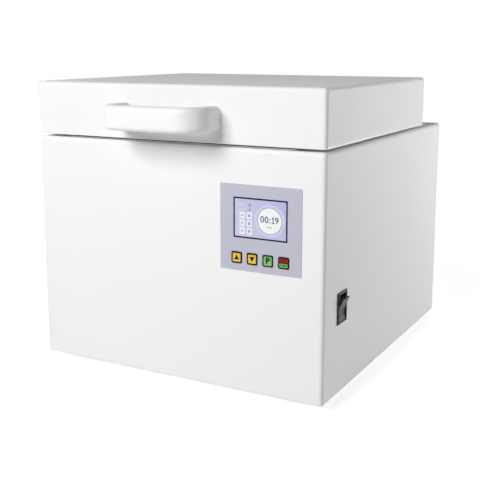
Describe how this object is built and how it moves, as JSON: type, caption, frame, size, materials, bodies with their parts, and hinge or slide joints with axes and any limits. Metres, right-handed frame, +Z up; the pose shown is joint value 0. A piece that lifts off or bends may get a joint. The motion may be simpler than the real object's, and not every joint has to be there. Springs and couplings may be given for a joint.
{
  "type": "dental light curing unit",
  "caption": "Bench-top box that cures printed dental resin with lamps: deep hinged lid with bow handle, mirror-lined chamber, display with keys, rocker switch, rear fans and mains inlet.",
  "frame": {"origin": "on the bench, in the middle of the overall footprint, with the handle and the fan guards counted; x is 0 on the casing's middle plane", "axes": "+X to the unit's right as its user faces it, +Y to its rear, +Z up"},
  "size_m": [0.4164, 0.4988, 0.38],
  "materials": {
    "white_paint": "satin powder coat",
    "white_handle": "semi-gloss moulding",
    "zinc_sheet": "zinc-plated sheet",
    "polished_aluminium": "bright polished sheet",
    "clear_glass": "polished plate",
    "lamp_glass": "phosphor-coated tube",
    "socket_white": "moulded",
    "screw_steel": "zinc plated",
    "hinge_steel": "satin stainless",
    "guard_chrome": "bright wire",
    "black_plastic": "fine moulded grain",
    "rocker_black": "semi-gloss moulding",
    "foot_rubber": "moulded",
    "seal_rubber": "silicone",
    "lead_rubber": "sheathed lead",
    "overlay_film": "matt printed film",
    "display_screen": "clear lens over a lit screen",
    "module_frame": "pressed frame",
    "key_amber": "matt printed film",
    "key_green": "matt printed film",
    "key_red_green": "matt printed film, red above green",
    "board_green": "lacquered board",
    "component_black": "moulded",
    "ballast_white": "moulded case",
    "filter_can": "drawn can",
    "magnet_nickel": "nickel plate",
    "pin_brass": "plated",
    "fuse_glass": "glass with metal caps"
  },
  "bodies": {
    "cabinet": {"outer_casing": "white_paint", "base_plate": "zinc_sheet", "rear_panel": "white_paint", "feet": "foot_rubber", "foot_screws": "screw_steel", "base_screws": "screw_steel", "rear_screws": "screw_steel", "chamber_liner": "polished_aluminium", "glass_rails": "polished_aluminium", "chamber_glass": "clear_glass", "front_lamps": "lamp_glass", "rear_lamps": "lamp_glass", "left_lamps": "lamp_glass", "right_lamps": "lamp_glass", "floor_lamps": "lamp_glass", "lamp_sockets": "socket_white", "lamp_clips": "socket_white", "hinge_base_leaves": "hinge_steel", "hinge_pins": "hinge_steel", "hinge_base_screws": "screw_steel", "reed_sensor": "component_black", "control_overlay": "overlay_film", "display_lens": "display_screen", "display_module": "module_frame", "control_board": "board_green", "board_standoffs": "screw_steel", "key_switches": "component_black", "power_switch_housing": "black_plastic", "fan_frame_left": "black_plastic", "fan_frame_right": "black_plastic", "fan_guard_left": "guard_chrome", "fan_guard_right": "guard_chrome", "fan_screws": "screw_steel", "mains_inlet": "black_plastic", "inlet_pins": "pin_brass", "ballasts": "ballast_white", "relay_board": "board_green", "mains_filter": "filter_can", "mains_lead": "lead_rubber"},
    "lid": {"lid_shell": "white_paint", "lid_inner_panel": "white_paint", "lid_reflector": "polished_aluminium", "lid_seal": "seal_rubber", "lid_lamps": "lamp_glass", "lid_lamp_sockets": "socket_white", "lid_lamp_clips": "socket_white", "lid_handle": "white_handle", "handle_screws": "screw_steel", "hinge_lid_leaves": "hinge_steel", "hinge_lid_screws": "screw_steel", "lid_magnet": "magnet_nickel"},
    "power_rocker": {"power_rocker": "rocker_black"},
    "key_up": {"key_up": "key_amber"},
    "key_down": {"key_down": "key_amber"},
    "key_program": {"key_program": "key_green"},
    "key_start_stop": {"key_start_stop": "key_red_green"},
    "fan_rotor_left": {"fan_rotor_left": "black_plastic"},
    "fan_rotor_right": {"fan_rotor_right": "black_plastic"},
    "fuse_drawer": {"fuse_drawer": "black_plastic", "fuses": "fuse_glass"}
  },
  "joints": [
    {"name": "lid_hinge", "type": "hinge", "parent": "cabinet", "child": "lid", "pos_m": [0, 0.1666, 0.315], "axis": [-1, 0, 0], "range_deg": [0, 90]},
    {"name": "power_rocker_tilt", "type": "hinge", "parent": "cabinet", "child": "power_rocker", "pos_m": [0.197, -0.1404, 0.1195], "axis": [0, -1, 0], "range_deg": [0, 24]},
    {"name": "key_up_press", "type": "slide", "parent": "cabinet", "child": "key_up", "axis": [0, 1, 0], "range_m": [0, 0.0005], "stiffness_N_per_m": 500, "springref_m": -0.001},
    {"name": "key_down_press", "type": "slide", "parent": "cabinet", "child": "key_down", "axis": [0, 1, 0], "range_m": [0, 0.0005], "stiffness_N_per_m": 500, "springref_m": -0.001},
    {"name": "key_program_press", "type": "slide", "parent": "cabinet", "child": "key_program", "axis": [0, 1, 0], "range_m": [0, 0.0005], "stiffness_N_per_m": 500, "springref_m": -0.001},
    {"name": "key_start_stop_press", "type": "slide", "parent": "cabinet", "child": "key_start_stop", "axis": [0, 1, 0], "range_m": [0, 0.0005], "stiffness_N_per_m": 500, "springref_m": -0.001},
    {"name": "fan_left_spin", "type": "hinge", "parent": "cabinet", "child": "fan_rotor_left", "pos_m": [-0.075, 0.2316, 0.215], "axis": [0, 1, 0], "continuous": true},
    {"name": "fan_right_spin", "type": "hinge", "parent": "cabinet", "child": "fan_rotor_right", "pos_m": [0.075, 0.2316, 0.215], "axis": [0, 1, 0], "continuous": true},
    {"name": "fuse_drawer_slide", "type": "slide", "parent": "cabinet", "child": "fuse_drawer", "axis": [0, 1, 0], "range_m": [0, 0.02]}
  ]
}
